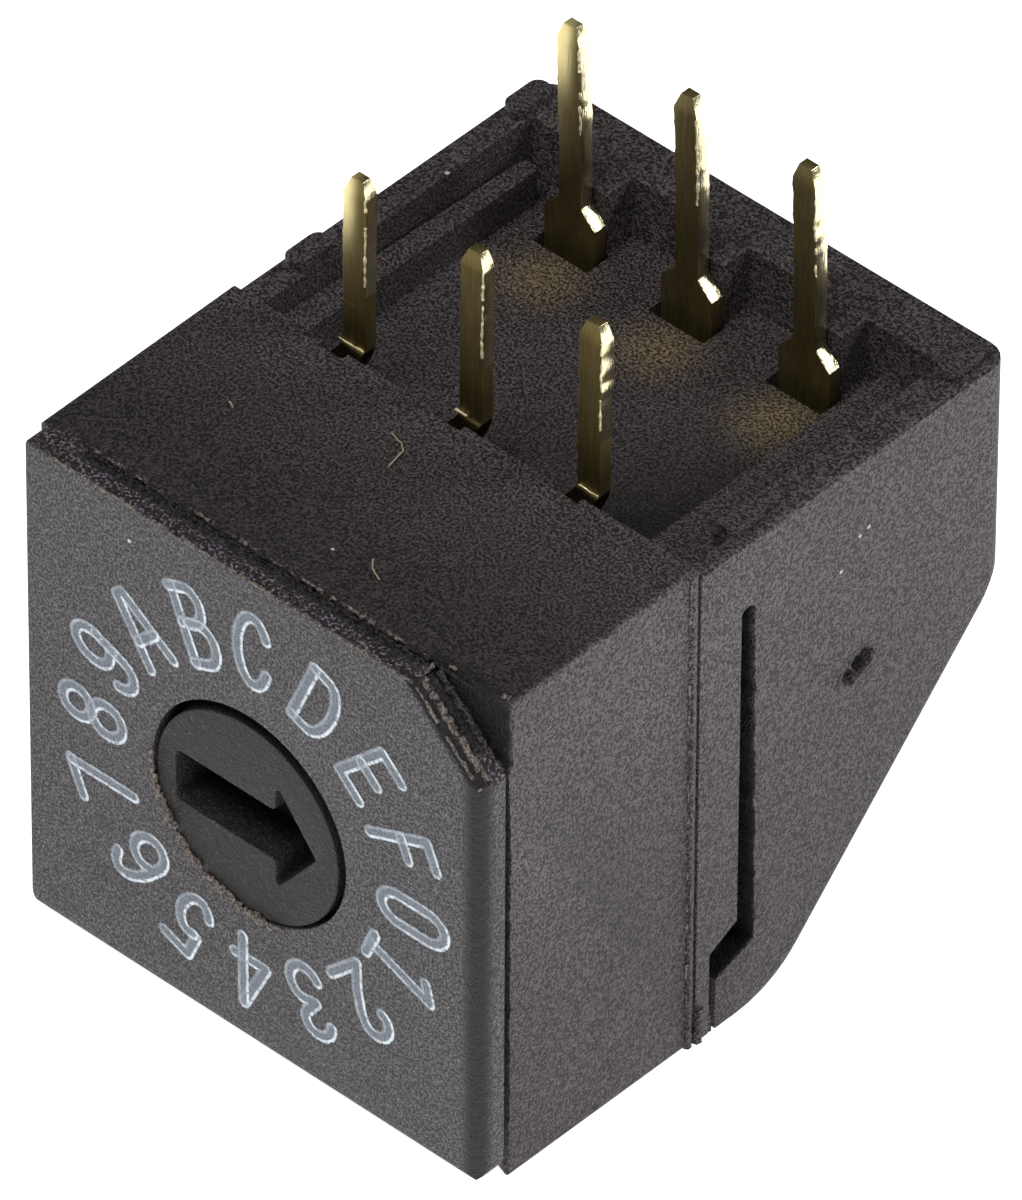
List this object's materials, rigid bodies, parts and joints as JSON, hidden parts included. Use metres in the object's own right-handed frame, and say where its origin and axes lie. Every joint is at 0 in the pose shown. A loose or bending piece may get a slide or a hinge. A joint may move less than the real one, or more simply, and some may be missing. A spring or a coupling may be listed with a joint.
{
  "type": "rotary dip switch",
  "caption": "Right-angle rotary DIP switch: square box with a turning arrow slot in a lettered dial plate, a 45 degree back and two rows of solder pins.",
  "frame": {"origin": "middle of the footprint box on the base plane", "axes": "+Z towards the pin tips, +Y from the dial into the depth, +X to the right seen from the dial"},
  "size_m": [0.0101, 0.0124, 0.0134],
  "materials": {
    "dial_plastic": "spark-eroded dark grey with pale blue-grey outlined characters",
    "case_plastic": "spark-eroded near-black",
    "rotor_plastic": "smooth dark grey",
    "base_plastic": "glass-filled near-black",
    "seal_rubber": "matte black",
    "spring_steel": "bright rolled strip",
    "contact_gold": "bright gold plating"
  },
  "bodies": {
    "case": {"dial_plate": "dial_plastic", "switch_body": "case_plastic", "rear_cover": "case_plastic", "detent_spring": "spring_steel", "contact_base": "base_plastic", "terminal_common": "contact_gold", "terminal_code_1": "contact_gold", "terminal_code_2": "contact_gold", "terminal_code_4": "contact_gold", "terminal_code_8": "contact_gold", "terminal_carrier": "base_plastic"},
    "turning_rotor": {"rotor": "rotor_plastic", "rotor_seal": "seal_rubber", "contact_wiper": "contact_gold"}
  },
  "joints": [
    {"name": "rotor_turn", "type": "hinge", "parent": "case", "child": "turning_rotor", "pos_m": [0, -0.00607, 0.0051], "axis": [0, -1, 0], "continuous": true}
  ]
}
